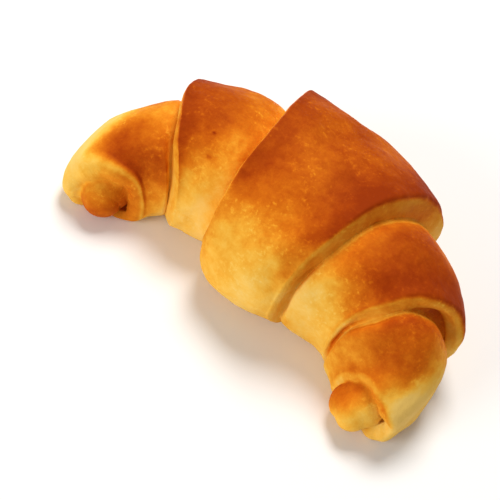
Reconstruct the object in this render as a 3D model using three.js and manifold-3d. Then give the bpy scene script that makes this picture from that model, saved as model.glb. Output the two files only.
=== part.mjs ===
// A plain baked croissant: a crescent of dough rolled up in five overlapping turns, the middle one
// outermost, with a small rolled nub standing out of the recess at each tip.
// Millimetres, +Z up. It lies on its flat underside with both tips bent towards -Y, and the origin
// is on that underside, at the middle of the outline's length and width.
import * as THREE from "three";
import { mergeVertices } from "three/addons/utils/BufferGeometryUtils.js";
import Module from "manifold-3d";

// The roll's axis is a curve whose turning, in radians a mm, grows with the distance from the middle
const BEND = 0.0033;
const BEND_GROWTH_RIGHT = 0.00057;
const BEND_GROWTH_LEFT = 0.0007;
const AXIS_REACH = 80;
const AXIS_STEP = 0.25;

// Every cross-section is rounder above its waist and squarer below it, where it has settled flat
const ROUNDNESS_ABOVE = 2.06;
const ROUNDNESS_BELOW = 3.2;
const WAIST = 0.378;
const SETTLED = 0.07;

// The middle turn at its fullest
const CROWN = { halfWidth: 34.2, height: 44.6, offset: -0.9 };

// The outer edge of each turn: its distance along the axis from the middle, the half-width, height
// and outward offset of its lip, and the same of the next turn where it comes out from under it.
// tilt and lean carry the outer side and the top of the edge further from the middle, tuck draws its
// lower part back, lip is the rim's radius, undercut is how far its foot lies behind the edge where
// the crevice stands open, valley is how far past the edge the next turn comes up to its own surface,
// and gapes are the places where the crevice stands open, in degrees round the roll from its outer
// side over the top. base is the thickness under the recess in the end of a tip, and slope is how
// steeply, in degrees, the turn comes down to its lip there.
const RIGHT = {
  middle: {
    side: 1, at: 24.3, halfWidth: 30, height: 45.8, offset: -0.2,
    nextHalfWidth: 25, nextHeight: 38.8, nextOffset: -1,
    tilt: 1.1, lean: -1.8, tuck: 3, lip: 1.9, undercut: 1.4, valley: 3,
    gapes: [{ at: 172, spread: 50, open: 1 }, { at: 20, spread: 60, open: 0.25 }],
  },
  second: {
    side: 1, at: 49.6, halfWidth: 19.6, height: 37.4, offset: 2,
    nextHalfWidth: 15.9, nextHeight: 32, nextOffset: 0.4,
    tilt: -1.3, lean: -1.9, tuck: 1, lip: 1.8, undercut: 2, valley: 3,
    gapes: [{ at: 165, spread: 48, open: 0.9 }, { at: 40, spread: 66, open: 1 }],
  },
  tip: {
    side: 1, at: 66.5, halfWidth: 12, height: 21.6, offset: -0.4,
    nextHalfWidth: 6.2, nextHeight: 14.5, nextOffset: 0.2,
    tilt: 1.6, lean: 1, tuck: -1, lip: 4, undercut: 1, valley: 0, base: 6.5, slope: 45,
    gapes: [{ at: 90, spread: 360, open: 1 }],
  },
};
const LEFT = {
  middle: {
    side: -1, at: 17.9, halfWidth: 31.2, height: 44.8, offset: -0.5,
    nextHalfWidth: 23.4, nextHeight: 37, nextOffset: -0.6,
    tilt: 1.2, lean: 0.5, tuck: 0.5, lip: 1.3, undercut: 1.6, valley: 3,
    gapes: [{ at: 85, spread: 130, open: 0.6 }],
  },
  second: {
    side: -1, at: 42.7, halfWidth: 21.8, height: 37.2, offset: 0.3,
    nextHalfWidth: 15.8, nextHeight: 30.5, nextOffset: -0.6,
    tilt: -6.2, lean: 3.8, tuck: 0.5, lip: 1.1, undercut: 2.2, valley: 3,
    gapes: [{ at: 95, spread: 150, open: 1 }],
  },
  tip: {
    side: -1, at: 71, halfWidth: 13.4, height: 21.5, offset: -0.5,
    nextHalfWidth: 5.8, nextHeight: 13, nextOffset: -3,
    tilt: 1.2, lean: -1, tuck: 0.5, lip: 4.4, undercut: 1.6, valley: 0, base: 2.5, slope: 0,
    gapes: [{ at: 90, spread: 360, open: 1 }],
  },
};

// How much wider and higher each turn is a third of the way from its inner edge to its lip
const SECOND_BULGE = { wider: 1, higher: 1 };
const TIP_BULGE_RIGHT = { wider: 1.2, higher: 3.4 };
const TIP_BULGE_LEFT = { wider: 0.4, higher: 0.6 };

// The rim of a turn: reach of its foot past the edge where the dough has merged, and the depth of the
// crevice as a share of the step down to the next turn
const MERGED_FOOT = 0.7;
const CREVICE_DEPTH = 0.4;
const CREVICE_PLACE = 0.18;
const SEAM_DEPTH = 0.03;

// The recess in the end of a tip: its depth, and the rows over its wall and floor, each with its share
// of that depth and its width as a share of the opening's
const RECESS_DEPTH = 5.5;
const RECESS_ROWS = [{ deep: 0.75, wide: 1 }, { deep: 1, wide: 0.9 }, { deep: 1, wide: 0.5 }];

// Slow swellings over the whole surface, as real dough has: height, and waves along and round it
const SWELLINGS = [
  { height: 0.30, along: 0.11, round: 2, phase: 0.4 },
  { height: 0.22, along: -0.19, round: 3, phase: 2.1 },
  { height: 0.16, along: 0.31, round: 5, phase: 4.4 },
];
// The same for the line of each edge, in mm along the roll
const EDGE_WAVER = [{ size: 0.45, round: 3, phase: 1.3 }, { size: 0.25, round: 7, phase: 0.2 }];

// The nub at each tip, bent from inside the recess: where it starts, bends and ends, and its radii. The
// right one ends in a lobe that lies across it.
const NUB_RIGHT = {
  start: [47.8, -19, 12], bend: [51, -27.5, 9.5], end: [51, -30.6, 7.9],
  startRadius: 6, bendRadius: 7.6, endRadius: 6.9,
};
const LOBE_RIGHT = {
  start: [56, -29.4, 8.4], bend: [51.8, -31.6, 7.8], end: [47.4, -31.6, 6.6],
  startRadius: 1.5, bendRadius: 10.6, endRadius: 5.4,
};
const NUB_LEFT = {
  start: [-46.5, -26, 9], bend: [-46.8, -34.4, 7.8], end: [-45.4, -37.2, 6.4],
  startRadius: 7.4, bendRadius: 7.4, endRadius: 6,
};
const NUB_END_LENGTH = 0.8;

// The middle of the outline, in the axis's own frame
const OUTLINE_MIDDLE = new THREE.Vector3(1.45, -4.68, 0);

// Detail smaller than this is closed up where the pieces join
const JOIN_TOLERANCE = 0.02;

// Steps round the roll and over each stretch of it
const ROUND_STEPS = 52;
const RIM_STEPS = 6;
const CREVICE_STEPS = 4;
const MIDDLE_STEPS = 8;
const SECOND_STEPS = 4;
const TIP_STEPS = 5;
const NUB_ROUND_STEPS = 20;
const NUB_STEPS = 7;
const NUB_CAP_STEPS = 3;

const lerp = THREE.MathUtils.lerp;
const radians = THREE.MathUtils.degToRad;

// Heading and place of the axis at each step from one end of its reach to the other
function traceAxis() {
  const count = (2 * AXIS_REACH) / AXIS_STEP;
  const points = [];
  let x = 0;
  let y = 0;
  for (let k = 0; k <= count; k++) {
    const s = k * AXIS_STEP - AXIS_REACH;
    const growth = s > 0 ? BEND_GROWTH_RIGHT : BEND_GROWTH_LEFT;
    const heading = -Math.sign(s) * (BEND * Math.abs(s) + (growth * s * s) / 2);
    if (k > 0) {
      const middle = (heading + points[k - 1].heading) / 2;
      x += Math.cos(middle) * AXIS_STEP;
      y += Math.sin(middle) * AXIS_STEP;
    }
    points.push({ heading, x, y });
  }
  const origin = points[count / 2];
  return points.map((p) => ({ heading: p.heading, x: p.x - origin.x, y: p.y - origin.y }));
}

const AXIS = traceAxis();

// The axis at a distance s from the middle of the roll
function axisAt(s) {
  const place = (s + AXIS_REACH) / AXIS_STEP;
  const k = Math.min(Math.max(Math.floor(place), 0), AXIS.length - 2);
  const t = place - k;
  return {
    heading: lerp(AXIS[k].heading, AXIS[k + 1].heading, t),
    x: lerp(AXIS[k].x, AXIS[k + 1].x, t),
    y: lerp(AXIS[k].y, AXIS[k + 1].y, t),
  };
}

// A cosine or sine drawn towards a square, as in a superellipse
function squared(value, roundness) {
  return Math.sign(value) * Math.abs(value) ** (2 / roundness);
}

// How far the surface swells out at a distance s along the roll and an angle round it
function swelling(s, angle) {
  return SWELLINGS.reduce((sum, w) => sum + w.height * Math.sin(w.along * s + w.round * angle + w.phase), 0);
}

// The point of a cross-section at an angle round the roll
function sectionPoint({ s, halfWidth, height, base, offset }, angle) {
  const axis = axisAt(s);
  const above = Math.sin(angle) >= 0;
  const roundness = above ? ROUNDNESS_ABOVE : ROUNDNESS_BELOW;
  const waist = lerp(base, height, WAIST);
  const reach = above ? height - waist : (waist - base) * (1 + SETTLED);
  const swell = swelling(s, angle);
  const out = offset + (halfWidth + swell) * squared(Math.cos(angle), roundness);
  const up = waist + (reach + (above ? swell : 0)) * squared(Math.sin(angle), roundness);
  return new THREE.Vector3(
    axis.x - Math.sin(axis.heading) * out,
    axis.y + Math.cos(axis.heading) * out,
    Math.max(up, 0),
  );
}

// The smaller angle between two directions
function angleBetween(one, other) {
  return Math.abs(THREE.MathUtils.euclideanModulo(one - other + Math.PI, 2 * Math.PI) - Math.PI);
}

// Share by which the crevice under an edge stands open at an angle
function gapeAt(edge, angle) {
  const shares = edge.gapes.map(({ at, spread, open }) => {
    const share = Math.min(angleBetween(angle, radians(at)) / radians(spread), 1);
    return open * Math.cos((share * Math.PI) / 2) ** 2;
  });
  return Math.max(...shares);
}

// Distance of an edge along the axis at an angle, with a further reach outwards past it
function edgePlace(edge, reach, angle) {
  const up = Math.sin(angle);
  const wave = ({ size, round, phase }) => size * Math.sin(round * angle + phase + edge.at);
  const waver = EDGE_WAVER.reduce((sum, w) => sum + wave(w), 0);
  const skew = edge.tilt * Math.cos(angle) + edge.lean * Math.max(up, 0) + edge.tuck * Math.min(up, 0);
  return edge.side * (edge.at + reach + skew + waver);
}

// Section at an edge, from the lip at depth 0 to the next turn at depth 1
function edgeSection(edge, reach, depth, angle, base = 0) {
  return {
    s: edgePlace(edge, reach, angle),
    halfWidth: lerp(edge.halfWidth, edge.nextHalfWidth, depth),
    height: lerp(edge.height, edge.nextHeight, depth),
    offset: lerp(edge.offset, edge.nextOffset, depth),
    base,
  };
}

// Reach of a rim past its edge, as it turns over the lip and in under it
function rimReach(edge, turn, open) {
  if (turn < Math.PI / 2) {
    return edge.lip * (Math.sin(turn) - 1);
  }
  return -Math.cos(turn) * lerp(MERGED_FOOT, -edge.undercut, open);
}

// Extra depth of the crevice at a share t of the way from the rim's foot out to the next turn
function creviceDepth(t, open) {
  const q = t / CREVICE_PLACE;
  return (SEAM_DEPTH + CREVICE_DEPTH * open) * q * Math.exp(1 - q);
}

// Rows are functions from an angle to a point. These go over a turn's rim and down its crevice.
function rimRows(edge) {
  const rows = [];
  for (let k = 0; k <= RIM_STEPS; k++) {
    const turn = (Math.PI * k) / RIM_STEPS;
    const depth = (1 - Math.cos(turn)) / 2;
    rows.push((angle) => {
      const reach = rimReach(edge, turn, gapeAt(edge, angle));
      return sectionPoint(edgeSection(edge, reach, depth, angle), angle);
    });
  }
  for (let k = 1; k < CREVICE_STEPS; k++) {
    const t = (k / CREVICE_STEPS) ** 1.5;
    rows.push((angle) => {
      const open = gapeAt(edge, angle);
      const reach = lerp(rimReach(edge, Math.PI, open), edge.valley, t);
      return sectionPoint(edgeSection(edge, reach, 1 + creviceDepth(t, open), angle), angle);
    });
  }
  return rows;
}

// Where a turn meets its rim: the rim's angle, its reach past the edge and its depth there
function lipStart({ lip, slope = 0 }) {
  const turn = radians(slope);
  return { turn, reach: lip * (Math.sin(turn) - 1), depth: (1 - Math.cos(turn)) / 2 };
}

// Share of its bulge that a turn has at t of the way from its inner edge to its lip
function bulgeShare(t) {
  return (27 / 4) * t * (1 - t) ** 2;
}

// Rows of a turn, from under one edge to its own lip at the next
function turnRows(inner, outer, steps, { wider, higher }) {
  const rows = [];
  const { reach, depth } = lipStart(outer);
  for (let k = 0; k < steps; k++) {
    const t = k / steps;
    const fullness = bulgeShare(t);
    rows.push((angle) => {
      const lip = edgeSection(outer, reach, depth, angle);
      return sectionPoint({
        s: lerp(edgePlace(inner, inner.valley, angle), lip.s, t),
        halfWidth: lerp(inner.nextHalfWidth, lip.halfWidth, t) + fullness * wider,
        height: lerp(inner.nextHeight, lip.height, t) + fullness * higher,
        offset: lerp(inner.nextOffset, lip.offset, t),
        base: 0,
      }, angle);
    });
  }
  return rows;
}

// Rows of the middle turn, from its left lip to its right one through the crown
function middleRows(left, right) {
  const rows = [];
  const blend = (key, t) => {
    const full = 4 * t * (1 - t);
    return lerp(left[key], right[key], t) + full * (CROWN[key] - (left[key] + right[key]) / 2);
  };
  for (let k = 1; k < MIDDLE_STEPS; k++) {
    const t = k / MIDDLE_STEPS;
    rows.push((angle) => sectionPoint({
      s: lerp(edgePlace(left, -left.lip, angle), edgePlace(right, -right.lip, angle), t),
      halfWidth: blend("halfWidth", t),
      height: blend("height", t),
      offset: blend("offset", t),
      base: 0,
    }, angle));
  }
  return rows;
}

// Rows over the rim of a tip, down the wall of its recess and in over the recess's floor
function tipRows(edge) {
  const rows = [];
  for (let k = 0; k <= RIM_STEPS; k++) {
    const share = k / RIM_STEPS;
    const turn = lerp(lipStart(edge).turn, Math.PI, share);
    const depth = (1 - Math.cos(turn)) / 2;
    rows.push((angle) => {
      const reach = rimReach(edge, turn, 1);
      return sectionPoint(edgeSection(edge, reach, depth, angle, edge.base * depth * share), angle);
    });
  }
  for (const { deep, wide } of RECESS_ROWS) {
    rows.push((angle) => {
      const section = edgeSection(edge, -RECESS_DEPTH * deep, 1, angle, edge.base);
      const middle = (section.height + edge.base) / 2;
      section.height = lerp(middle, section.height, wide);
      section.base = lerp(middle, edge.base, wide);
      section.halfWidth *= wide;
      return sectionPoint(section, angle);
    });
  }
  return rows;
}

// A closed skin over rings of points, with a middle point at each end
function skin(rings) {
  const count = rings[0].length;
  const points = rings.flat();
  for (const ring of [rings[0], rings[rings.length - 1]]) {
    points.push(ring.reduce((sum, p) => sum.add(p), new THREE.Vector3()).divideScalar(count));
  }
  const first = points.length - 2;
  const last = points.length - 1;
  const faces = [];
  for (let i = 0; i < count; i++) {
    const next = (i + 1) % count;
    for (let j = 0; j < rings.length - 1; j++) {
      const here = j * count;
      const there = here + count;
      faces.push(here + i, there + next, there + i, here + i, here + next, there + next);
    }
    const end = (rings.length - 1) * count;
    faces.push(first, next, i, last, end + i, end + next);
  }
  const geometry = new THREE.BufferGeometry().setFromPoints(points);
  geometry.setIndex(faces);
  return geometry;
}

// The five turns in one skin, from the left tip's recess to the right tip's
function rollGeometry() {
  const leftwards = [
    ...rimRows(LEFT.middle),
    ...turnRows(LEFT.middle, LEFT.second, SECOND_STEPS, SECOND_BULGE),
    ...rimRows(LEFT.second),
    ...turnRows(LEFT.second, LEFT.tip, TIP_STEPS, TIP_BULGE_LEFT),
    ...tipRows(LEFT.tip),
  ];
  const rightwards = [
    ...rimRows(RIGHT.middle),
    ...turnRows(RIGHT.middle, RIGHT.second, SECOND_STEPS, SECOND_BULGE),
    ...rimRows(RIGHT.second),
    ...turnRows(RIGHT.second, RIGHT.tip, TIP_STEPS, TIP_BULGE_RIGHT),
    ...tipRows(RIGHT.tip),
  ];
  const rows = [...leftwards.reverse(), ...middleRows(LEFT.middle, RIGHT.middle), ...rightwards];
  const angles = Array.from({ length: ROUND_STEPS }, (_, i) => (2 * Math.PI * i) / ROUND_STEPS);
  return skin(rows.map((row) => angles.map(row)));
}

// A short bent nub with a rounded end
function nubGeometry({ start, bend, end, startRadius, bendRadius, endRadius }) {
  const path = new THREE.QuadraticBezierCurve3(
    new THREE.Vector3(...start), new THREE.Vector3(...bend), new THREE.Vector3(...end),
  );
  const ring = (centre, forward, radius) => {
    const across = new THREE.Vector3(0, 0, 1).cross(forward).normalize();
    const up = forward.clone().cross(across);
    return Array.from({ length: NUB_ROUND_STEPS }, (_, i) => {
      const angle = (2 * Math.PI * i) / NUB_ROUND_STEPS;
      return centre.clone()
        .addScaledVector(across, radius * Math.cos(angle))
        .addScaledVector(up, radius * Math.sin(angle));
    });
  };
  const rings = [];
  for (let k = 0; k <= NUB_STEPS; k++) {
    const t = k / NUB_STEPS;
    const radius = (1 - t) ** 2 * startRadius + 2 * t * (1 - t) * bendRadius + t * t * endRadius;
    rings.push(ring(path.getPoint(t), path.getTangent(t), radius));
  }
  const forward = path.getTangent(1);
  for (let k = 1; k <= NUB_CAP_STEPS; k++) {
    const turn = (Math.PI / 2) * (k / (NUB_CAP_STEPS + 0.5));
    const centre = path.getPoint(1).addScaledVector(forward, endRadius * NUB_END_LENGTH * Math.sin(turn));
    rings.push(ring(centre, forward, endRadius * Math.cos(turn)));
  }
  return skin(rings);
}

const wasm = await Module();
wasm.setup();

// A closed geometry as a solid whose joins leave no slivers
function toSolid(geometry) {
  const merged = mergeVertices(geometry);
  const solid = new wasm.Manifold(new wasm.Mesh({
    numProp: 3,
    vertProperties: new Float32Array(merged.attributes.position.array),
    triVerts: new Uint32Array(merged.index.array),
  }));
  return solid.setTolerance(JOIN_TOLERANCE);
}

// The outer skin of a joined solid, without the small pockets that the join closes off
function outerShell(solid) {
  const shells = solid.decompose();
  return shells.reduce((best, shell) => (shell.volume() > best.volume() ? shell : best));
}

function toGeometry(solid) {
  const mesh = solid.getMesh();
  const geometry = new THREE.BufferGeometry();
  geometry.setAttribute("position", new THREE.BufferAttribute(new Float32Array(mesh.vertProperties), 3));
  geometry.setIndex(new THREE.BufferAttribute(new Uint32Array(mesh.triVerts), 1));
  geometry.computeVertexNormals();
  return geometry;
}

const joined = toSolid(rollGeometry())
  .add(toSolid(nubGeometry(NUB_RIGHT)))
  .add(toSolid(nubGeometry(LOBE_RIGHT)))
  .add(toSolid(nubGeometry(NUB_LEFT)));

const crust = new THREE.MeshStandardMaterial({ color: 0xc9791f, roughness: 0.55, metalness: 0 });
const croissant = new THREE.Mesh(toGeometry(outerShell(joined)), crust);
croissant.name = "croissant";
croissant.position.copy(OUTLINE_MIDDLE).negate();

const group = new THREE.Group();
group.add(croissant);

export default group;
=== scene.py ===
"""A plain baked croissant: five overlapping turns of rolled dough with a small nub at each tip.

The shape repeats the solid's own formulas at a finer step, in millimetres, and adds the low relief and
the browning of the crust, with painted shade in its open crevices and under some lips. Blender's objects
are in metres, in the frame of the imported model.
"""
import math

import bmesh
import bpy
import numpy as np
from mathutils import Matrix, Vector, kdtree


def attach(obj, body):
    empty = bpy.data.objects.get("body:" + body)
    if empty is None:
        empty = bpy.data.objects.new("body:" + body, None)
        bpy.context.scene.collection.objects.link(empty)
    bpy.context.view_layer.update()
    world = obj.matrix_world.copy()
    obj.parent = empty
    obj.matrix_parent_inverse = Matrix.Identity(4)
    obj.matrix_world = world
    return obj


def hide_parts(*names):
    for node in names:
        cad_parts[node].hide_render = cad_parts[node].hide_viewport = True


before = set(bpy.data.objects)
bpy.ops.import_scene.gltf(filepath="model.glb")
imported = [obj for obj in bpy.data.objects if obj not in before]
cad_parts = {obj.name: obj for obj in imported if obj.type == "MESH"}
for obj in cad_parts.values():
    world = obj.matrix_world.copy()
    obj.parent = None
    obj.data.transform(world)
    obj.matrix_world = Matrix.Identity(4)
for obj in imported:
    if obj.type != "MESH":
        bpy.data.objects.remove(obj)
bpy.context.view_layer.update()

MM = 0.001

# The roll's axis is a curve whose turning, in radians a mm, grows with the distance from the middle
BEND = 0.0033
BEND_GROWTH_RIGHT = 0.00057
BEND_GROWTH_LEFT = 0.0007
AXIS_REACH = 80
AXIS_STEP = 0.25

# Every cross-section is rounder above its waist and squarer below it, where it has settled flat
ROUNDNESS_ABOVE = 2.06
ROUNDNESS_BELOW = 3.2
WAIST = 0.378
SETTLED = 0.07

# The middle turn at its fullest
CROWN = {"half_width": 34.2, "height": 44.6, "offset": -0.9}

# The outer edge of each turn: its distance along the axis from the middle, the half-width, height and
# outward offset of its lip, and the same of the next turn where it comes out from under it. tilt and
# lean carry the outer side and the top of the edge further from the middle, tuck draws its lower part
# back, lip is the rim's radius, undercut is how far its foot lies behind the edge where the crevice
# stands open, valley is how far past the edge the next turn comes up to its own surface, and gapes are
# the places where the crevice stands open, as an angle round the roll from its outer side over the
# top, a spread in degrees, and a share. A tip also has base, the thickness under the recess in its
# end, and slope, the angle in degrees at which its turn comes down to its lip.
RIGHT = {
    "middle": {
        "side": 1, "at": 24.3, "half_width": 30, "height": 45.8, "offset": -0.2,
        "next_half_width": 25, "next_height": 38.8, "next_offset": -1,
        "tilt": 1.1, "lean": -1.8, "tuck": 3, "lip": 1.9, "undercut": 1.4, "valley": 3,
        "gapes": [(172, 50, 1), (20, 60, 0.25)],
    },
    "second": {
        "side": 1, "at": 49.6, "half_width": 19.6, "height": 37.4, "offset": 2,
        "next_half_width": 15.9, "next_height": 32, "next_offset": 0.4,
        "tilt": -1.3, "lean": -1.9, "tuck": 1, "lip": 1.8, "undercut": 2, "valley": 3,
        "gapes": [(165, 48, 0.9), (40, 66, 1)],
    },
    "tip": {
        "side": 1, "at": 66.5, "half_width": 12, "height": 21.6, "offset": -0.4,
        "next_half_width": 6.2, "next_height": 14.5, "next_offset": 0.2,
        "tilt": 1.6, "lean": 1, "tuck": -1, "lip": 4, "undercut": 1, "valley": 0,
        "base": 6.5, "slope": 45, "gapes": [(90, 360, 1)],
    },
}
LEFT = {
    "middle": {
        "side": -1, "at": 17.9, "half_width": 31.2, "height": 44.8, "offset": -0.5,
        "next_half_width": 23.4, "next_height": 37, "next_offset": -0.6,
        "tilt": 1.2, "lean": 0.5, "tuck": 0.5, "lip": 1.3, "undercut": 1.6, "valley": 3,
        "gapes": [(85, 130, 0.6)],
    },
    "second": {
        "side": -1, "at": 42.7, "half_width": 21.8, "height": 37.2, "offset": 0.3,
        "next_half_width": 15.8, "next_height": 30.5, "next_offset": -0.6,
        "tilt": -6.2, "lean": 3.8, "tuck": 0.5, "lip": 1.1, "undercut": 2.2, "valley": 3,
        "gapes": [(95, 150, 1)],
    },
    "tip": {
        "side": -1, "at": 71, "half_width": 13.4, "height": 21.5, "offset": -0.5,
        "next_half_width": 5.8, "next_height": 13, "next_offset": -3,
        "tilt": 1.2, "lean": -1, "tuck": 0.5, "lip": 4.4, "undercut": 1.6, "valley": 0,
        "base": 2.5, "slope": 0, "gapes": [(90, 360, 1)],
    },
}

# How much wider and higher each turn is a third of the way from its inner edge to its lip
SECOND_BULGE = (1, 1)
TIP_BULGE_RIGHT = (1.2, 3.4)
TIP_BULGE_LEFT = (0.4, 0.6)

# How far the foot of a rim reaches past the edge where the dough has merged
MERGED_FOOT = 0.7

# The crevice beyond a rim: its depth where it is closed, and how much deeper it is where it stands open,
# as shares of the step down to the next turn, and where it is deepest, as a share of the way out
SEAM_DEPTH = 0.03
CREVICE_DEPTH = 0.4
CREVICE_PLACE = 0.18

# The recess in the end of a tip: its depth, and the size of its floor as a share of its wall's
RECESS_DEPTH = 5.5
RECESS_FLOOR = 0.9

# Slow swellings over the whole surface: height, waves along and round it, and phase
SWELLINGS = [(0.30, 0.11, 2, 0.4), (0.22, -0.19, 3, 2.1), (0.16, 0.31, 5, 4.4)]

# The same for the line of each edge, in mm along the roll: size, waves round it, and phase
EDGE_WAVER = [(0.45, 3, 1.3), (0.25, 7, 0.2)]

# The nub at each tip, bent from inside the recess: where it starts, bends and ends, its radii there, and
# the distance along the roll that it counts as. The right one ends in a lobe that lies across it.
NUBS = {
    "nub_right": {
        "path": [(47.8, -19, 12), (51, -27.5, 9.5), (51, -30.6, 7.9)],
        "radii": (6, 7.6, 6.9),
        "s": 70,
    },
    "lobe_right": {
        "path": [(56, -29.4, 8.4), (51.8, -31.6, 7.8), (47.4, -31.6, 6.6)],
        "radii": (1.5, 10.6, 5.4),
        "s": 70,
    },
    "nub_left": {
        "path": [(-46.5, -26, 9), (-46.8, -34.4, 7.8), (-45.4, -37.2, 6.4)],
        "radii": (7.4, 7.4, 6),
        "s": -72,
    },
}

# Length of a nub's rounded end, as a share of its radius there
NUB_END_LENGTH = 0.8

# The middle of the outline, in the axis's own frame
OUTLINE_MIDDLE = np.array((1.45, -4.68, 0))

# Points round the roll, the fine ones that they are spread over, and how closely they lie on the flat
# base as a share
ROUND_COUNT = 280
FINE_COUNT = 20001
FLAT_SHARE = 0.35

# Rows over each stretch of the roll. Those in a crevice lie closer near the rim's foot, by a power.
RIM_ROWS = 18
CREVICE_ROWS = 10
CREVICE_SPACING = 1.5
MIDDLE_ROWS = 52
SECOND_ROWS = 24
TIP_ROWS = 16
RECESS_WALL_ROWS = 7
RECESS_FLOOR_ROWS = 6

# Points round a nub and rows along it and over its rounded end
NUB_ROUND_COUNT = 72
NUB_ROWS = 26
NUB_CAP_ROWS = 14

# What is known of each point of the surface, apart from its place: its distance along the roll and its
# angle round it, its distance from the lip of its turn, how far round a rim it lies, its distance from
# the foot of the rim above, how open the crevice is there, and how far it is in a recess and on a nub
FIELDS = ("s", "angle", "lip", "rim", "foot", "open", "recess", "nub")

# The distance from a lip or a foot that isn't beside the point
FAR = 99.0

# The nub field where a nub starts, where its rounded end begins, and at its far end
NUB_FIELD = (0.2, 0.7, 1)

# Edges shorter than this, in mm, are dissolved after the join
SHORTEST_EDGE = 0.01

# A random field: how many waves it is the sum of, and their lengths as shares of the given one
WAVE_COUNT = 36
WAVE_LENGTHS = (0.7, 1.5)


def lerp(a, b, t):
    """Value at a share t of the way from a to b."""
    return a + (b - a) * t


def smoothstep(low, high, value):
    """Share from 0 to 1, rising smoothly while the value goes from low to high."""
    t = np.clip((value - low) / (high - low), 0, 1)
    return t * t * (3 - 2 * t)


def bent(start, middle, end, t):
    """Value at a share t of the way along a bend from start to end that is drawn towards middle."""
    return (1 - t) ** 2 * start + 2 * t * (1 - t) * middle + t * t * end


def squared(value, roundness):
    """A cosine or sine drawn towards a square, as in a superellipse."""
    return np.sign(value) * np.abs(value) ** (2 / roundness)


def even_angles():
    """Angles round the roll whose points lie evenly on a typical section, and sparser on its flat base."""
    fine = np.linspace(0, 2 * math.pi, FINE_COUNT)
    above = np.sin(fine) >= 0
    roundness = np.where(above, ROUNDNESS_ABOVE, ROUNDNESS_BELOW)
    half_width = CROWN["half_width"]
    height = CROWN["height"]
    waist = height * WAIST
    reach = np.where(above, height - waist, waist * (1 + SETTLED))
    out = half_width * squared(np.cos(fine), roundness)
    up = waist + reach * squared(np.sin(fine), roundness)
    steps = np.hypot(np.diff(out), np.diff(np.maximum(up, 0)))
    steps *= np.where((up[1:] < 0) & (up[:-1] < 0), FLAT_SHARE, 1)
    length = np.concatenate([[0], np.cumsum(steps)])
    return np.interp(np.arange(ROUND_COUNT) / ROUND_COUNT * length[-1], length, fine)


def trace_axis():
    """Distance, heading and place at each step of the roll's axis."""
    s = np.arange(-AXIS_REACH, AXIS_REACH + AXIS_STEP / 2, AXIS_STEP)
    growth = np.where(s > 0, BEND_GROWTH_RIGHT, BEND_GROWTH_LEFT)
    heading = -np.sign(s) * (BEND * np.abs(s) + growth * s * s / 2)
    middle = (heading[1:] + heading[:-1]) / 2
    x = np.concatenate([[0], np.cumsum(np.cos(middle))]) * AXIS_STEP
    y = np.concatenate([[0], np.cumsum(np.sin(middle))]) * AXIS_STEP
    return s, heading, x - np.interp(0, s, x), y - np.interp(0, s, y)


ANGLES = even_angles()
AXIS = trace_axis()


def swelling(s, angle):
    """Sum of the slow swellings at each point."""
    return sum(
        height * np.sin(along * s + turns * angle + phase) for height, along, turns, phase in SWELLINGS
    )


def section_points(s, half_width, height, base, offset):
    """The points of a cross-section, one for each of the angles."""
    heading, x, y = (np.interp(s, AXIS[0], values) for values in AXIS[1:])
    above = np.sin(ANGLES) >= 0
    roundness = np.where(above, ROUNDNESS_ABOVE, ROUNDNESS_BELOW)
    waist = lerp(base, height, WAIST)
    reach = np.where(above, height - waist, (waist - base) * (1 + SETTLED))
    swell = swelling(s, ANGLES)
    out = offset + (half_width + swell) * squared(np.cos(ANGLES), roundness)
    up = waist + (reach + np.where(above, swell, 0)) * squared(np.sin(ANGLES), roundness)
    return np.stack([x - np.sin(heading) * out, y + np.cos(heading) * out, np.maximum(up, 0)], axis=1)


def gape(edge):
    """Share by which the crevice under an edge stands open at each angle."""
    shares = []
    for at, spread, share in edge["gapes"]:
        away = np.abs((ANGLES - math.radians(at) + math.pi) % (2 * math.pi) - math.pi)
        near = np.minimum(away / math.radians(spread), 1)
        shares.append(share * np.cos(near * math.pi / 2) ** 2)
    return np.max(shares, axis=0)


def edge_place(edge, reach):
    """Distance of an edge along the axis, with a further reach outwards past it."""
    up = np.sin(ANGLES)
    waver = sum(size * np.sin(turns * ANGLES + phase + edge["at"]) for size, turns, phase in EDGE_WAVER)
    skew = edge["tilt"] * np.cos(ANGLES)
    skew += edge["lean"] * np.maximum(up, 0) + edge["tuck"] * np.minimum(up, 0)
    return edge["side"] * (edge["at"] + reach + skew + waver)


def edge_section(edge, reach, depth, base=0):
    """Section at an edge, from the lip at depth 0 to the next turn at depth 1."""
    return {
        "s": edge_place(edge, reach),
        "half_width": lerp(edge["half_width"], edge["next_half_width"], depth),
        "height": lerp(edge["height"], edge["next_height"], depth),
        "offset": lerp(edge["offset"], edge["next_offset"], depth),
        "base": base,
    }


def row(section, lip=FAR, rim=0.0, foot=FAR, open_share=0.0, recess=0.0):
    """A ring of points, each followed by its fields."""
    points = section_points(**section)
    fields = [section["s"], ANGLES, lip, rim, foot, open_share, recess, 0.0]
    return np.column_stack([points] + [np.broadcast_to(np.asarray(f, float), ANGLES.shape) for f in fields])


def rim_reach(edge, turn, open_share):
    """Reach of a rim past its edge, as it turns over the lip and in under it."""
    if turn < math.pi / 2:
        return edge["lip"] * (math.sin(turn) - 1)
    return -math.cos(turn) * lerp(MERGED_FOOT, -edge["undercut"], open_share)


def crevice_depth(t, open_share):
    """Extra depth of the crevice at a share t of the way from the rim's foot out to the next turn."""
    q = t / CREVICE_PLACE
    return (SEAM_DEPTH + CREVICE_DEPTH * open_share) * q * math.exp(1 - q)


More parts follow.
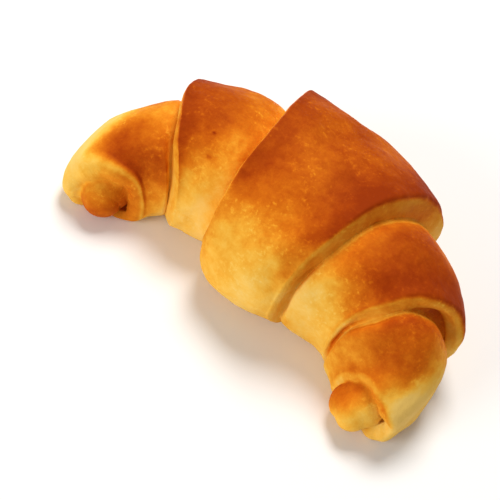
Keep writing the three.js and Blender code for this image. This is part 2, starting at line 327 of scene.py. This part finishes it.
def rim_rows(edge):
    """Rows over a turn's rim and down its crevice."""
    rows = []
    open_share = gape(edge)
    for k in range(RIM_ROWS + 1):
        turn = math.pi * k / RIM_ROWS
        depth = (1 - math.cos(turn)) / 2
        section = edge_section(edge, rim_reach(edge, turn, open_share), depth)
        rows.append(row(section, lip=0.0, rim=turn / math.pi, open_share=open_share))
    start = rim_reach(edge, math.pi, open_share)
    for k in range(1, CREVICE_ROWS):
        t = (k / CREVICE_ROWS) ** CREVICE_SPACING
        section = edge_section(edge, lerp(start, edge["valley"], t), 1 + crevice_depth(t, open_share))
        rows.append(row(section, rim=1 - t, foot=(edge["valley"] - start) * t, open_share=open_share))
    return rows


def lip_start(edge):
    """Where a turn meets its rim: the rim's angle, its reach past the edge and its depth there."""
    turn = math.radians(edge.get("slope", 0))
    return turn, edge["lip"] * (math.sin(turn) - 1), (1 - math.cos(turn)) / 2


def bulge_share(t):
    """Share of its bulge that a turn has at t of the way from its inner edge to its lip, 1 at a third."""
    return 27 / 4 * t * (1 - t) ** 2


def turn_rows(inner, outer, count, bulge):
    """Rows of a turn, from under one edge to its own lip at the next."""
    rows = []
    start = edge_place(inner, inner["valley"])
    _, reach, depth = lip_start(outer)
    lip = edge_section(outer, reach, depth)
    end = lip["s"]
    under = inner["valley"] - rim_reach(inner, math.pi, gape(inner))
    for k in range(count):
        t = k / count
        wider, higher = (bulge_share(t) * size for size in bulge)
        section = {
            "s": lerp(start, end, t),
            "half_width": lerp(inner["next_half_width"], lip["half_width"], t) + wider,
            "height": lerp(inner["next_height"], lip["height"], t) + higher,
            "offset": lerp(inner["next_offset"], lip["offset"], t),
            "base": 0,
        }
        length = np.abs(end - start)
        rows.append(row(section, lip=length * (1 - t), foot=under + length * t))
    return rows


def middle_rows(left, right):
    """Rows of the middle turn, from its left lip to its right one through the crown."""
    rows = []
    start = edge_place(left, -left["lip"])
    end = edge_place(right, -right["lip"])
    for k in range(1, MIDDLE_ROWS):
        t = k / MIDDLE_ROWS
        full = 4 * t * (1 - t)
        section = {
            key: lerp(left[key], right[key], t) + full * (CROWN[key] - (left[key] + right[key]) / 2)
            for key in ("half_width", "height", "offset")
        }
        section.update(s=lerp(start, end, t), base=0)
        rows.append(row(section, lip=(end - start) * min(t, 1 - t)))
    return rows


def recess_rows(edge):
    """Rows over the rim of a tip, down the wall of its recess and in over the recess's floor."""
    rows = []
    first, _, _ = lip_start(edge)
    for k in range(RIM_ROWS + 1):
        share = k / RIM_ROWS
        turn = lerp(first, math.pi, share)
        depth = (1 - math.cos(turn)) / 2
        section = edge_section(edge, rim_reach(edge, turn, 1), depth, edge["base"] * depth * share)
        rows.append(row(section, lip=0.0, rim=share, recess=depth))
    foot = rim_reach(edge, math.pi, 1)
    shape = [(k / RECESS_WALL_ROWS, 1) for k in range(1, RECESS_WALL_ROWS)]
    shape += [(1, RECESS_FLOOR * (1 - k / RECESS_FLOOR_ROWS)) for k in range(RECESS_FLOOR_ROWS)]
    for deep, wide in shape:
        section = edge_section(edge, lerp(foot, -RECESS_DEPTH, deep), 1, edge["base"])
        middle = (section["height"] + edge["base"]) / 2
        section["height"] = lerp(middle, section["height"], wide)
        section["base"] = lerp(middle, edge["base"], wide)
        section["half_width"] *= wide
        rows.append(row(section, rim=1.0, recess=1.0))
    return rows


def roll_rings():
    """The rings of the five turns, from the left tip's recess to the right tip's."""
    leftwards = (
        rim_rows(LEFT["middle"])
        + turn_rows(LEFT["middle"], LEFT["second"], SECOND_ROWS, SECOND_BULGE)
        + rim_rows(LEFT["second"])
        + turn_rows(LEFT["second"], LEFT["tip"], TIP_ROWS, TIP_BULGE_LEFT)
        + recess_rows(LEFT["tip"])
    )
    rightwards = (
        rim_rows(RIGHT["middle"])
        + turn_rows(RIGHT["middle"], RIGHT["second"], SECOND_ROWS, SECOND_BULGE)
        + rim_rows(RIGHT["second"])
        + turn_rows(RIGHT["second"], RIGHT["tip"], TIP_ROWS, TIP_BULGE_RIGHT)
        + recess_rows(RIGHT["tip"])
    )
    return np.stack(leftwards[::-1] + middle_rows(LEFT["middle"], RIGHT["middle"]) + rightwards)


def unit(v):
    """A vector of length 1 in the same direction."""
    return v / np.linalg.norm(v)


def nub_rings(nub):
    """The rings of a short bent nub with a rounded end, and their fields."""
    start, bend, end = (np.array(p, float) for p in nub["path"])
    field_start, field_cap, field_end = NUB_FIELD
    turn = 2 * math.pi * np.arange(NUB_ROUND_COUNT) / NUB_ROUND_COUNT
    rings = []

    def ring(centre, forward, radius, field):
        """Adds a ring round a place, square to the way forward."""
        across = unit(np.cross((0, 0, 1), forward))
        up = np.cross(forward, across)
        points = centre + radius * (np.outer(np.cos(turn), across) + np.outer(np.sin(turn), up))
        fields = [nub["s"], math.pi / 2, FAR, 0.0, FAR, 0.0, 0.0, field]
        rings.append(np.column_stack([points] + [np.full(NUB_ROUND_COUNT, float(f)) for f in fields]))

    for k in range(NUB_ROWS + 1):
        t = k / NUB_ROWS
        forward = unit(lerp(bend - start, end - bend, t))
        radius = bent(*nub["radii"], t)
        ring(bent(start, bend, end, t), forward, radius, lerp(field_start, field_cap, t))
    for k in range(1, NUB_CAP_ROWS + 1):
        # The half row leaves the last ring open, for skin() to close
        lift = math.pi / 2 * k / (NUB_CAP_ROWS + 0.5)
        centre = end + forward * radius * NUB_END_LENGTH * math.sin(lift)
        ring(centre, forward, radius * math.cos(lift), lerp(field_cap, field_end, k / NUB_CAP_ROWS))
    return np.stack(rings)


def skin(name, rings):
    """A closed mesh object over rings of points, in metres, and the points with their fields."""
    rows, count, width = rings.shape
    ends = [rings[0].mean(axis=0), rings[-1].mean(axis=0)]
    points = np.vstack([rings.reshape(-1, width)] + ends)
    points[:, :3] -= OUTLINE_MIDDLE
    here = np.arange(rows * count).reshape(rows, count)
    after = np.roll(here, -1, axis=1)
    quads = np.stack([here[:-1], after[:-1], after[1:], here[1:]], axis=-1).reshape(-1, 4)
    first = [(rows * count, after[0, i], here[0, i]) for i in range(count)]
    last = [(rows * count + 1, here[-1, i], after[-1, i]) for i in range(count)]
    mesh = bpy.data.meshes.new(name)
    mesh.from_pydata((points[:, :3] * MM).tolist(), [], quads.tolist() + first + last)
    piece = bpy.data.objects.new(name, mesh)
    bpy.context.collection.objects.link(piece)
    return piece, points


def join(piece, others):
    """Joins other closed meshes to a piece."""
    for other in others:
        modifier = piece.modifiers.new("join", "BOOLEAN")
        modifier.operation = "UNION"
        modifier.solver = "MANIFOLD"
        modifier.object = other
    evaluated = piece.evaluated_get(bpy.context.evaluated_depsgraph_get())
    joined = bpy.data.meshes.new_from_object(evaluated)
    piece.modifiers.clear()
    piece.data = joined
    for other in others:
        bpy.data.objects.remove(other)


def keep_outer_shell(mesh):
    """Deletes the small pockets that the join closes off inside the piece."""
    bm = bmesh.new()
    bm.from_mesh(mesh)
    left = set(bm.verts)
    shells = []
    while left:
        shell = {left.pop()}
        front = list(shell)
        while front:
            vert = front.pop()
            for edge in vert.link_edges:
                other = edge.other_vert(vert)
                if other in left:
                    left.discard(other)
                    shell.add(other)
                    front.append(other)
        shells.append(shell)
    largest = max(shells, key=len)
    stray = [v for shell in shells if shell is not largest for v in shell]
    bmesh.ops.delete(bm, geom=stray, context="VERTS")
    bmesh.ops.dissolve_degenerate(bm, dist=SHORTEST_EDGE * MM, edges=bm.edges)
    bm.to_mesh(mesh)
    bm.free()


def read_fields(mesh, known):
    """The fields of each vertex of the joined mesh, from the nearest point of the meshes it was made of."""
    tree = kdtree.KDTree(len(known))
    for index, point in enumerate(known[:, :3]):
        tree.insert(point, index)
    tree.balance()
    nearest = [tree.find(v.co / MM)[1] for v in mesh.vertices]
    return dict(zip(FIELDS, known[nearest, 3:].T))


def vertex_places(mesh):
    """Places of a mesh's vertices, in mm."""
    places = np.empty(len(mesh.vertices) * 3)
    mesh.vertices.foreach_get("co", places)
    return places.reshape(-1, 3) / MM


def vertex_normals(mesh):
    """Normals of a mesh's vertices."""
    normals = np.empty(len(mesh.vertices) * 3)
    mesh.vertex_normals.foreach_get("vector", normals)
    return normals.reshape(-1, 3)


def waves(places, wavelength, seed):
    """A smooth random field, about -1 to 1, from plane waves in random directions."""
    rng = np.random.default_rng(seed)
    directions = rng.normal(size=(WAVE_COUNT, 3))
    directions /= np.linalg.norm(directions, axis=1)[:, None]
    lengths = wavelength * rng.uniform(*WAVE_LENGTHS, WAVE_COUNT)
    phases = rng.uniform(0, 2 * math.pi, WAVE_COUNT)
    total = np.zeros(len(places))
    for direction, length, phase in zip(directions, lengths, phases):
        total += np.sin(places @ direction * (2 * math.pi / length) + phase)
    return total / math.sqrt(WAVE_COUNT)


def set_attribute(mesh, name, values):
    """Stores one value for each vertex under a name."""
    attribute = mesh.attributes.new(name, "FLOAT", "POINT")
    attribute.data.foreach_set("value", np.asarray(values, np.float32))


# The step in the nub field that marks a joint, how far the softening of the joints reaches, in rings of
# vertices, how far each vertex moves to its neighbours' mean, and how often that is repeated
JOINT_STEP = 0.1
JOINT_RINGS = 7
JOINT_SHARE = 0.5
JOINT_PASSES = 14
JOINT_COLOUR_PASSES = 24

# Low relief of the crust, lumps and then ripples: height in mm, wavelength and seed. It fades out
# towards the flat underside, over a height in mm.
RELIEF = [(0.22, 13, 5), (0.06, 4, 6)]
RELIEF_START = 2


def soften_joints(mesh, nub, values, passes):
    """Averages values with those of the vertices beside them, near where the nubs meet the roll."""
    ends = np.empty(len(mesh.edges) * 2, int)
    mesh.edges.foreach_get("vertices", ends)
    a, b = ends.reshape(-1, 2).T
    across = np.abs(nub[a] - nub[b]) > JOINT_STEP
    weight = np.zeros(len(nub))
    weight[np.concatenate([a[across], b[across]])] = 1
    for ring in range(1, JOINT_RINGS):
        share = 1 - ring / JOINT_RINGS
        reached = weight > 0
        beside = np.concatenate([b[reached[a]], a[reached[b]]])
        weight[beside] = np.maximum(weight[beside], share)
    links = np.bincount(ends, minlength=len(nub))[:, None]
    for _ in range(passes):
        total = np.zeros_like(values)
        np.add.at(total, a, values[b])
        np.add.at(total, b, values[a])
        values = lerp(values, total / links, JOINT_SHARE * weight[:, None])
    return values


def add_relief(mesh):
    """Lifts and lowers the surface a little, and keeps the underside flat."""
    places = vertex_places(mesh)
    lift = sum(height * waves(places, wavelength, seed) for height, wavelength, seed in RELIEF)
    standing = smoothstep(0, RELIEF_START, places[:, 2])
    moved = places + vertex_normals(mesh) * (lift * standing)[:, None]
    moved[:, 2] = np.maximum(moved[:, 2], 0)
    mesh.vertices.foreach_set("co", (moved * MM).ravel())
    mesh.update()


def build_croissant():
    """The whole roll with its nubs as one closed mesh, and what is known of each vertex."""
    piece, known = skin("crust", roll_rings())
    nubs = [skin(name, nub_rings(nub)) for name, nub in NUBS.items()]
    join(piece, [nub for nub, _ in nubs])
    mesh = piece.data
    keep_outer_shell(mesh)
    fields = read_fields(mesh, np.vstack([known] + [points for _, points in nubs]))
    places = soften_joints(mesh, fields["nub"], vertex_places(mesh), JOINT_PASSES)
    mesh.vertices.foreach_set("co", (places * MM).ravel())
    mesh.update()
    add_relief(mesh)
    mesh.shade_smooth()
    return piece, fields


# Where along the roll the left side passes into the right one, and each side into its tip
SIDE_CHANGE = (-6, 6)
TIP_START = (46, 58)

# Browning, from 0 pale dough to 1 dark brown. A face turned up to the oven's heat browns most. One turned
# to the outer side of the bend browns a little more than one turned inwards, and at the tips a little less.
PALEST = 0.18
HEAT_SHARE = 0.46
HEAT_RANGE = (-0.25, 0.85)
OUTER_HEAT = 0.25
OUTER_HEAT_TIP = -0.20

# The ridge just before a lip browns more where it is hot enough, and the strip sheltered by the turn
# above stays paler: an amount and a width in mm on the left and on the right, and the share of it that
# is left at the right tip for a ridge and at the left tip for a shelter
RIDGE_HEAT = (0.35, 0.85)
RIDGE_LEFT = (0.24, 7.0)
RIDGE_RIGHT = (0.32, 8.0)
RIDGE_TIP = 0.25
SHELTER_LEFT = (0.32, 8.0)
SHELTER_RIGHT = (0.18, 5.0)
SHELTER_TIP = 0.5

# Rims: how far round them their own browning begins, on the left and on the right, over what further
# share of the rim it takes over, and that browning between a low and a high place in mm
RIM_START = (0.35, 0.15)
RIM_BLEND = 0.25
RIM_HEIGHTS = (18, 36)
RIM_BROWN = (0.18, 0.42)

# Rims round the recesses of the tips: over what share of the rim their own browning takes over. On the left
# it is the browning at the lip, and further in on the outer and on the inner side, with the range along X
# and the range round the rim; the darker browning further in, beside the nub, is painted shade. On the
# right it is the browning low down and higher up, with the range of height.
TIP_RIM_BLEND = 0.3
TIP_RIM_LEFT = {"lip": 0.04, "inside": (0.14, 0.52), "along": (-56, -42), "round": (0.05, 0.38)}
TIP_RIM_RIGHT = {"brown": (0.12, 0.46), "heights": (9, 16)}

# Painted shade in an open crevice: how much darker it is painted there, and in the one nearest to the right
# tip, where along the roll it passes from one to the other, and how far round the rim it begins and is
# complete
CREVICE_SHADE = (0.08, 0.40)
CREVICE_CHANGE = (30, 45)
CREVICE_RIM = (0.7, 1)

# Patches that browned more or less than their surroundings, and darker patches under some lips that are
# painted shade, from the left tip to the right one: distance along the roll, angle round it, spread along
# it in mm, spread round it in degrees, and amount
BROWNING_AND_SHADE_PATCHES = [
    (-67, 62, 4, 24, -0.14), (-66, 35, 10, 34, -0.34), (-66, 40, 8, 30, -0.08),
    (-66, 120, 5, 40, 0.08), (-58, 40, 6, 16, -0.16), (-58, 52, 8, 18, -0.08),
    (-57, 48, 6, 14, -0.08), (-55, 140, 7, 26, 0.22), (-54, 76, 4, 14, 0.09),
    (-52, 68, 5, 24, -0.14), (-44, 149, 9, 12, -0.18), (-38, 170, 9, 20, -0.06),
    (-34, 92, 5, 24, 0.10), (-33, 80, 5, 16, 0.09), (-33, 110, 5, 14, 0.09),
    (-33, 148, 6, 18, -0.10), (-28, 118, 5, 16, -0.06), (-22, 124, 3, 16, -0.08),
    (-20, 118, 2.5, 60, 0.12), (-20, 172, 4, 14, 0.24), (-15, 104, 4, 14, -0.08),
    (-14, 172, 4, 16, 0.14), (-9, 123, 4, 12, 0.08), (-9, 146, 6, 12, -0.08),
    (-8, 160, 7, 16, -0.04), (-2, 88, 12, 30, 0.01), (0, 62, 10, 18, 0.10),
    (7, 163, 10, 14, -0.10), (8, 131, 8, 10, -0.07), (11, 141, 8, 12, -0.16),
    (12, 92, 9, 22, 0.12), (17, 40, 6, 12, 0.10), (18, 152, 4, 15, 0.14),
    (19, 165, 3, 10, 0.08), (24, 150, 3, 16, -0.12), (26, 196, 4, 14, 0.15),
    (31, 78, 7, 32, 0.14), (32, 160, 7, 18, -0.14), (33, 140, 5, 14, -0.07),
    (34, 40, 5, 12, -0.10), (35, 82, 7, 18, 0.10), (42, 112, 6, 16, 0.12),
    (45, 128, 3, 14, 0.10), (47, 105, 3, 25, -0.16), (50, 156, 3, 12, 0.12),
    (52, 86, 4, 22, 0.16), (52, 96, 3, 30, 0.10), (56, 133, 4, 12, -0.08),
    (59, 150, 6, 25, 0.06), (60, 54, 4, 12, 0.10), (60, 88, 5, 40, 0.16),
    (62, 60, 4, 12, 0.10), (62, 62, 4, 12, 0.10), (63, 72, 4, 24, 0.10),
    (63, 165, 3, 14, -0.08), (64, 100, 4, 22, -0.14), (64, 192, 4, 14, 0.10),
    (65, 47, 5, 24, -0.22), (66, 44, 8, 40, -0.44), (67, 62, 4, 16, -0.10),
]

# Mottling: amount, wavelength in mm and seed of each kind
MOTTLES = [(0.040, 17, 11), (0.022, 7, 12)]

# Two small dark specks on the left second turn: their places and radius in mm, and how much browner
SPECKS = [(-29.8, -9.8, 36.9), (-26.5, -14.7, 33.2)]
SPECK_RADIUS = 0.4
SPECK_BROWN = 0.5

# Browning of each nub: at its middle, which is a place in mm, and how much more for each mm along X, Y
# and Z from there, within limits
NUB_SHADE_LEFT = {"level": 0.57, "middle": (-47.5, -31, 8), "slope": (0.015, 0, -0.035)}
NUB_SHADE_RIGHT = {"level": 0.26, "middle": (50, -28, 10.5), "slope": (-0.060, 0, 0.050)}
NUB_SHADE_LIMITS = (0.20, 0.64)


def heat_browning(s, normals, fields, right_side):
    """Browning from the heat, with the ridges before the lips and the sheltered strips below them."""
    towards_tip = smoothstep(*TIP_START, np.abs(s))
    heading = np.interp(s, AXIS[0], AXIS[1])
    outward = -np.sin(heading) * normals[:, 0] + np.cos(heading) * normals[:, 1]
    heat = normals[:, 2] + outward * lerp(OUTER_HEAT, OUTER_HEAT_TIP, towards_tip)
    bake = PALEST + HEAT_SHARE * smoothstep(*HEAT_RANGE, heat)
    ridge, ridge_width = (lerp(*pair, right_side) for pair in zip(RIDGE_LEFT, RIDGE_RIGHT))
    ridge *= lerp(1, RIDGE_TIP, towards_tip * right_side) * smoothstep(*RIDGE_HEAT, heat)
    bake += ridge * np.exp(-(fields["lip"] / ridge_width) ** 2)
    shelter, shelter_width = (lerp(*pair, right_side) for pair in zip(SHELTER_LEFT, SHELTER_RIGHT))
    exposed = lerp(1, SHELTER_TIP, towards_tip * (1 - right_side))
    bake -= shelter * exposed * np.exp(-fields["foot"] / (shelter_width * exposed))
    return bake


def patch_browning_and_shade(s, angle):
    """Sum of the patches at each point."""
    total = np.zeros(len(s))
    for at, around, spread, wide, amount in BROWNING_AND_SHADE_PATCHES:
        away = np.abs((np.degrees(angle) - around + 180) % 360 - 180)
        total += amount * np.exp(-((s - at) / spread) ** 2 - (away / wide) ** 2)
    return total


def rim_browning_and_shade(places, fields, right_side):
    """Browning of the rims, with painted shade further in round the left tip's rim, and the share by which
    it counts at each point.
    """
    start = lerp(*RIM_START, right_side)
    share = smoothstep(start, start + RIM_BLEND, fields["rim"])
    brown = lerp(*RIM_BROWN, smoothstep(*RIM_HEIGHTS, places[:, 2]))
    # Further in round the left tip's rim it grows darker: painted shade beside the nub
    inside = lerp(*TIP_RIM_LEFT["inside"], smoothstep(*TIP_RIM_LEFT["along"], places[:, 0]))
    left_tip = lerp(TIP_RIM_LEFT["lip"], inside, smoothstep(*TIP_RIM_LEFT["round"], fields["rim"]))
    right_tip = lerp(*TIP_RIM_RIGHT["brown"], smoothstep(*TIP_RIM_RIGHT["heights"], places[:, 2]))
    at_tip = fields["recess"] > 0
    brown = np.where(at_tip, lerp(left_tip, right_tip, right_side), brown)
    share = np.where(at_tip, smoothstep(0, TIP_RIM_BLEND, fields["rim"]), share)
    return brown, share


def nub_browning(places, shade):
    """Browning of a nub, which runs evenly from one side of it to the other."""
    level = shade["level"] + (places - shade["middle"]) @ np.array(shade["slope"])
    return np.clip(level, *NUB_SHADE_LIMITS)


def browning_and_shade(places, normals, fields):
    """How far each point has browned, 0 pale dough to 1 dark brown, with painted shade added in open
    crevices, under some lips and further in round the left tip's rim.
    """
    s = fields["s"]
    right_side = smoothstep(*SIDE_CHANGE, s)
    bake = heat_browning(s, normals, fields, right_side) + patch_browning_and_shade(s, fields["angle"])
    bake = lerp(bake, *rim_browning_and_shade(places, fields, right_side))
    for amount, wavelength, seed in MOTTLES:
        bake += amount * waves(places, wavelength, seed)
    # Open crevices are painted darker: painted shade
    crevice = lerp(*CREVICE_SHADE, smoothstep(*CREVICE_CHANGE, s))
    bake += crevice * fields["open"] * smoothstep(*CREVICE_RIM, fields["rim"])
    for place in SPECKS:
        bake += SPECK_BROWN * np.exp(-((np.linalg.norm(places - place, axis=1) / SPECK_RADIUS) ** 2))
    nub_left, nub_right = (nub_browning(places, shade) for shade in (NUB_SHADE_LEFT, NUB_SHADE_RIGHT))
    return np.where(fields["nub"] > 0, lerp(nub_left, nub_right, right_side), bake)


# The crust: its colour at each level of browning, and its finish
CRUST_RAMP = [
    (0.00, (0.92, 0.60, 0.16)),
    (0.16, (0.91, 0.52, 0.070)),
    (0.32, (0.87, 0.38, 0.028)),
    (0.48, (0.71, 0.19, 0.008)),
    (0.64, (0.55, 0.11, 0.005)),
    (0.80, (0.40, 0.055, 0.003)),
    (1.00, (0.26, 0.026, 0.002)),
]
CRUST_ROUGHNESS = 0.58
CRUST_SPECULAR = 0.03
CRUST_SPECULAR_TINT = (1, 0.7, 0.35, 1)

# Fine changes of browning by noise. Each kind has the noise's scale, detail and roughness, then the range
# of it that counts, and what that range gives: mottling, small pale flecks, and how crowded the flecks
# are. The last value is the change of browning in the middle of a fleck.
MOTTLE = ((300, 6, 0.72), (0.3, 0.7), (-0.085, 0.085))
FLECKS = ((800, 2, 0.6), (0.53, 0.74), (0, 1))
CROWDING = ((110, 2, 0.6), (0.45, 0.62), (0.25, 1))
FLECK_BROWN = -0.17

# Fine grain: the noise's scale, detail and roughness, and the bump's strength and height in metres
GRAIN = (550, 5, 0.6)
GRAIN_STRENGTH = 0.7
GRAIN_HEIGHT = 0.0004


def crust_material():
    """Baked crust: browning and painted shade by attribute, mottling, small pale flecks, fine grain and a
    low satin gloss.
    """
    material = bpy.data.materials.new("crust")
    material.use_nodes = True
    nodes = material.node_tree.nodes
    links = material.node_tree.links
    nodes.clear()
    output = nodes.new("ShaderNodeOutputMaterial")
    shader = nodes.new("ShaderNodeBsdfPrincipled")
    links.new(shader.outputs["BSDF"], output.inputs["Surface"])
    shader.inputs["Roughness"].default_value = CRUST_ROUGHNESS
    shader.inputs["Specular IOR Level"].default_value = CRUST_SPECULAR
    shader.inputs["Specular Tint"].default_value = CRUST_SPECULAR_TINT

    place = nodes.new("ShaderNodeTexCoord")
    bake = nodes.new("ShaderNodeAttribute")
    bake.attribute_name = "bake"

    def noise(scale, detail, roughness):
        """The value of a noise texture."""
        texture = nodes.new("ShaderNodeTexNoise")
        texture.inputs["Scale"].default_value = scale
        texture.inputs["Detail"].default_value = detail
        texture.inputs["Roughness"].default_value = roughness
        links.new(place.outputs["Object"], texture.inputs["Vector"])
        return texture.outputs["Fac"]

    def mapped(value, given, wanted):
        """A value carried over from one range to another."""
        remap = nodes.new("ShaderNodeMapRange")
        for name, number in zip(("From Min", "From Max", "To Min", "To Max"), (*given, *wanted)):
            remap.inputs[name].default_value = number
        links.new(value, remap.inputs["Value"])
        return remap.outputs["Result"]

    def combine(operation, one, other):
        """The sum or the product of two values."""
        step = nodes.new("ShaderNodeMath")
        step.operation = operation
        links.new(one, step.inputs[0])
        links.new(other, step.inputs[1])
        return step.outputs[0]

    mottle, flecks, crowding = (
        mapped(noise(*texture), given, wanted) for texture, given, wanted in (MOTTLE, FLECKS, CROWDING)
    )
    paler = mapped(combine("MULTIPLY", flecks, crowding), (0, 1), (0, FLECK_BROWN))
    level = combine("ADD", combine("ADD", bake.outputs["Fac"], mottle), paler)
    ramp = nodes.new("ShaderNodeValToRGB")
    ramp.color_ramp.interpolation = "B_SPLINE"
    elements = ramp.color_ramp.elements
    first, *between, last = CRUST_RAMP
    for element, (position, colour) in zip(elements, (first, last)):
        element.position = position
        element.color = (*colour, 1)
    for position, colour in between:
        elements.new(position).color = (*colour, 1)
    links.new(level, ramp.inputs["Fac"])
    links.new(ramp.outputs["Color"], shader.inputs["Base Color"])

    bump = nodes.new("ShaderNodeBump")
    bump.inputs["Strength"].default_value = GRAIN_STRENGTH
    bump.inputs["Distance"].default_value = GRAIN_HEIGHT
    links.new(noise(*GRAIN), bump.inputs["Height"])
    links.new(bump.outputs["Normal"], shader.inputs["Normal"])
    return material


croissant, fields = build_croissant()
mesh = croissant.data
bake = browning_and_shade(vertex_places(mesh), vertex_normals(mesh), fields)
bake = soften_joints(mesh, fields["nub"], bake[:, None], JOINT_COLOUR_PASSES)[:, 0]
# The bake attribute holds the browning together with the painted shade
set_attribute(mesh, "bake", bake)
mesh.materials.clear()
mesh.materials.append(crust_material())
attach(croissant, "root")
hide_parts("croissant")

# The camera at the photograph's viewing angle: its place in mm, its angles in degrees, its lens and the
# width of its sensor in mm, and how near it begins to see, in metres
CAMERA_PLACE = np.array((101.54, -238.14, 328.80)) - OUTLINE_MIDDLE
CAMERA_AZIMUTH = 25.495
CAMERA_ELEVATION = 52.549
CAMERA_ROLL = 20.951
CAMERA_LENS = 99.58
CAMERA_SENSOR = 36
CAMERA_NEAR = 0.01


def add_camera():
    """Adds the camera and makes it the scene's own."""
    azimuth, elevation, roll = (math.radians(a) for a in (CAMERA_AZIMUTH, CAMERA_ELEVATION, CAMERA_ROLL))
    level = Vector((math.cos(azimuth), math.sin(azimuth), 0))
    away = Vector((math.sin(azimuth), -math.cos(azimuth), 0))
    back = away * math.cos(elevation) + Vector((0, 0, math.sin(elevation)))
    rise = back.cross(level)
    right = math.cos(roll) * level + math.sin(roll) * rise
    up = -math.sin(roll) * level + math.cos(roll) * rise
    turn = Matrix((right, up, back)).transposed().to_4x4()
    data = bpy.data.cameras.new("camera")
    data.lens = CAMERA_LENS
    data.sensor_width = CAMERA_SENSOR
    data.clip_start = CAMERA_NEAR
    camera = bpy.data.objects.new("camera", data)
    camera.matrix_world = Matrix.Translation(Vector(CAMERA_PLACE) * MM) @ turn
    bpy.context.collection.objects.link(camera)
    bpy.context.scene.camera = camera


# The floor under the croissant: half its width in metres, its colour and its finish
FLOOR_HALF = 3.0
FLOOR_COLOUR = (0.95, 0.93, 0.905, 1)
FLOOR_ROUGHNESS = 0.9
FLOOR_SPECULAR = 0.1


def add_floor():
    """Adds the floor, which belongs to the stage."""
    corners = [(x * FLOOR_HALF, y * FLOOR_HALF, 0) for x, y in ((-1, -1), (1, -1), (1, 1), (-1, 1))]
    mesh = bpy.data.meshes.new("floor")
    mesh.from_pydata(corners, [], [(0, 1, 2, 3)])
    floor = bpy.data.objects.new("floor", mesh)
    bpy.context.collection.objects.link(floor)
    material = bpy.data.materials.new("floor")
    material.use_nodes = True
    shader = material.node_tree.nodes["Principled BSDF"]
    shader.inputs["Base Color"].default_value = FLOOR_COLOUR
    shader.inputs["Roughness"].default_value = FLOOR_ROUGHNESS
    shader.inputs["Specular IOR Level"].default_value = FLOOR_SPECULAR
    mesh.materials.append(material)


# Light from all round, and two large round lamps that point at one place: where each stands and its
# size in metres, and its power in watts
WORLD_COLOUR = (1.0, 0.985, 0.97, 1)
WORLD_STRENGTH = 0.28
LAMPS = {
    "key": {"place": (-0.25, 0.38, 0.9), "size": 0.45, "power": 8.6},
    "fill": {"place": (-0.3, -0.9, 0.4), "size": 0.6, "power": 5.2},
}
LAMP_TARGET = (0, 0, 0.02)


def add_light():
    """Adds the light from all round and the two lamps."""
    world = bpy.data.worlds.new("world")
    bpy.context.scene.world = world
    world.use_nodes = True
    background = world.node_tree.nodes["Background"]
    background.inputs["Color"].default_value = WORLD_COLOUR
    background.inputs["Strength"].default_value = WORLD_STRENGTH
    for name, lamp in LAMPS.items():
        data = bpy.data.lights.new(name, "AREA")
        data.shape = "DISK"
        data.size = lamp["size"]
        data.energy = lamp["power"]
        light = bpy.data.objects.new(name, data)
        light.location = lamp["place"]
        aim = Vector(LAMP_TARGET) - Vector(lamp["place"])
        light.rotation_euler = aim.to_track_quat("-Z", "Y").to_euler()
        bpy.context.collection.objects.link(light)


add_camera()
add_floor()
add_light()
bpy.context.scene.view_settings.view_transform = "Standard"
bpy.context.scene.view_settings.look = "None"
